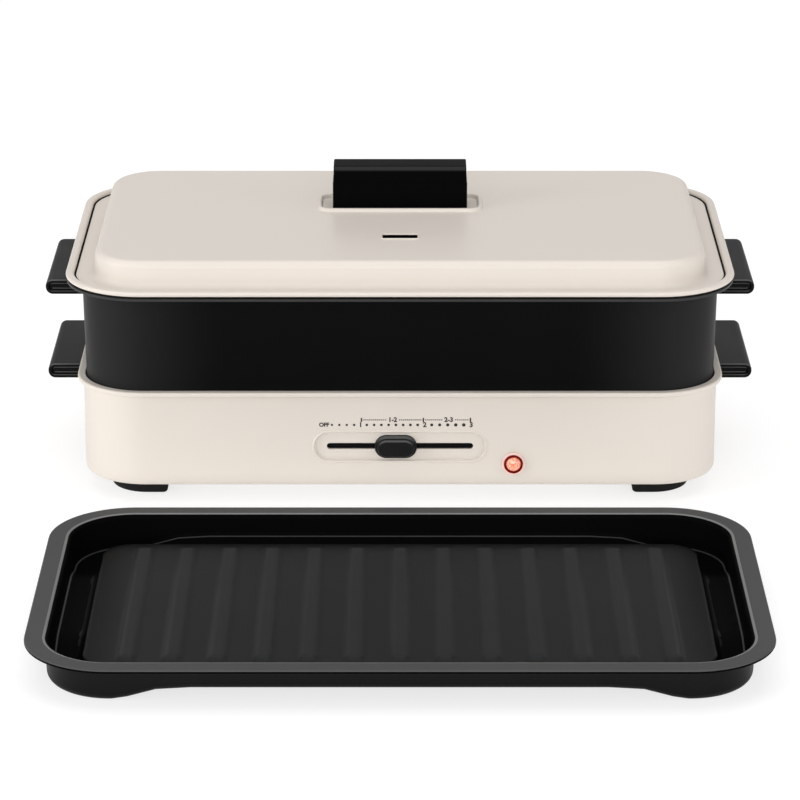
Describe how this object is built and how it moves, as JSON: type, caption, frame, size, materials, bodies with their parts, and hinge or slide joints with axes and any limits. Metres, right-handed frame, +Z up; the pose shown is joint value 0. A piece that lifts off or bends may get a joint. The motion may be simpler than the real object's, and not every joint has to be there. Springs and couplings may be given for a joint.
{
  "type": "hot pot grill combo",
  "caption": "Electric hot pot set: heated base with slide control, deep pot with side handles, low lid, and a separate ribbed griddle tray standing in front.",
  "frame": {"origin": "on the surface that the set stands on, in the middle of its bounding box", "axes": "+Z up, +Y from the griddle in front towards the stacked cooker behind, the control panel faces -Y"},
  "size_m": [0.433, 0.542, 0.1755],
  "materials": {
    "cream_enamel": "satin cream enamel",
    "black_coating": "satin black non-stick coating",
    "black_plastic": "fine matte phenolic",
    "black_rubber": "matte",
    "bare_steel": "plain sheet steel",
    "element_steel": "heat-darkened steel",
    "ceramic": "matte ceramic",
    "brass": "plain brass",
    "lamp_red": "gloss dark red",
    "lamp_orange": "clear orange lens",
    "lead_sleeve": "woven glass sleeve"
  },
  "bodies": {
    "base": {"base_shell": "cream_enamel", "bottom_plate": "black_plastic", "foot_front_left": "black_rubber", "foot_front_right": "black_rubber", "foot_back_left": "black_rubber", "foot_back_right": "black_rubber", "heat_tray": "bare_steel", "heating_element": "element_steel", "element_bracket_left": "bare_steel", "element_bracket_right": "bare_steel", "element_terminal_front": "ceramic", "element_terminal_back": "ceramic", "slide_rail": "bare_steel", "thermostat_body": "ceramic", "pilot_bezel": "lamp_red", "pilot_nut": "black_plastic", "pilot_lens": "lamp_orange", "inlet_housing": "black_plastic", "inlet_pin_live": "bare_steel", "inlet_pin_earth": "bare_steel", "inlet_pin_neutral": "bare_steel", "lead_live": "lead_sleeve", "lead_neutral": "lead_sleeve", "lead_fused": "lead_sleeve", "lead_switched": "lead_sleeve", "thermal_fuse": "ceramic", "base_handle_left_strap": "black_plastic", "base_handle_left_core": "black_plastic", "base_handle_right_strap": "black_plastic", "base_handle_right_core": "black_plastic"},
    "slider": {"slide_carriage": "black_plastic", "slide_knob": "black_plastic"},
    "spindle": {"thermostat_spindle": "brass"},
    "pot": {"pot_vessel": "black_coating", "pot_handle_left_strap": "black_plastic", "pot_handle_left_core": "black_plastic", "pot_handle_right_strap": "black_plastic", "pot_handle_right_core": "black_plastic"},
    "lid": {"lid_shell": "cream_enamel", "lid_handle_cap": "black_plastic", "lid_handle_core": "black_plastic", "lid_handle_plate": "bare_steel"},
    "griddle": {"griddle_plate": "black_coating"}
  },
  "joints": [
    {"name": "heat_slide", "type": "slide", "parent": "base", "child": "slider", "axis": [1, 0, 0], "range_m": [-0.0355, 0.0405]},
    {"name": "thermostat_turn", "type": "hinge", "parent": "base", "child": "spindle", "pos_m": [0, 0.06333, 0.0356], "axis": [0, 0, 1], "range_deg": [-130, 148]},
    {"name": "pot_lift", "type": "slide", "parent": "base", "child": "pot", "axis": [0, 0, 1], "range_m": [0, 0.12]},
    {"name": "lid_lift", "type": "slide", "parent": "pot", "child": "lid", "axis": [0, 0, 1], "range_m": [0, 0.12]},
    {"name": "griddle_lift", "type": "slide", "parent": "base", "child": "griddle", "axis": [0, 0, 1], "range_m": [0, 0.12]}
  ],
  "couplings": [
    {"joint": "thermostat_turn", "follows": "heat_slide", "rad_per_m": 63.492}
  ]
}
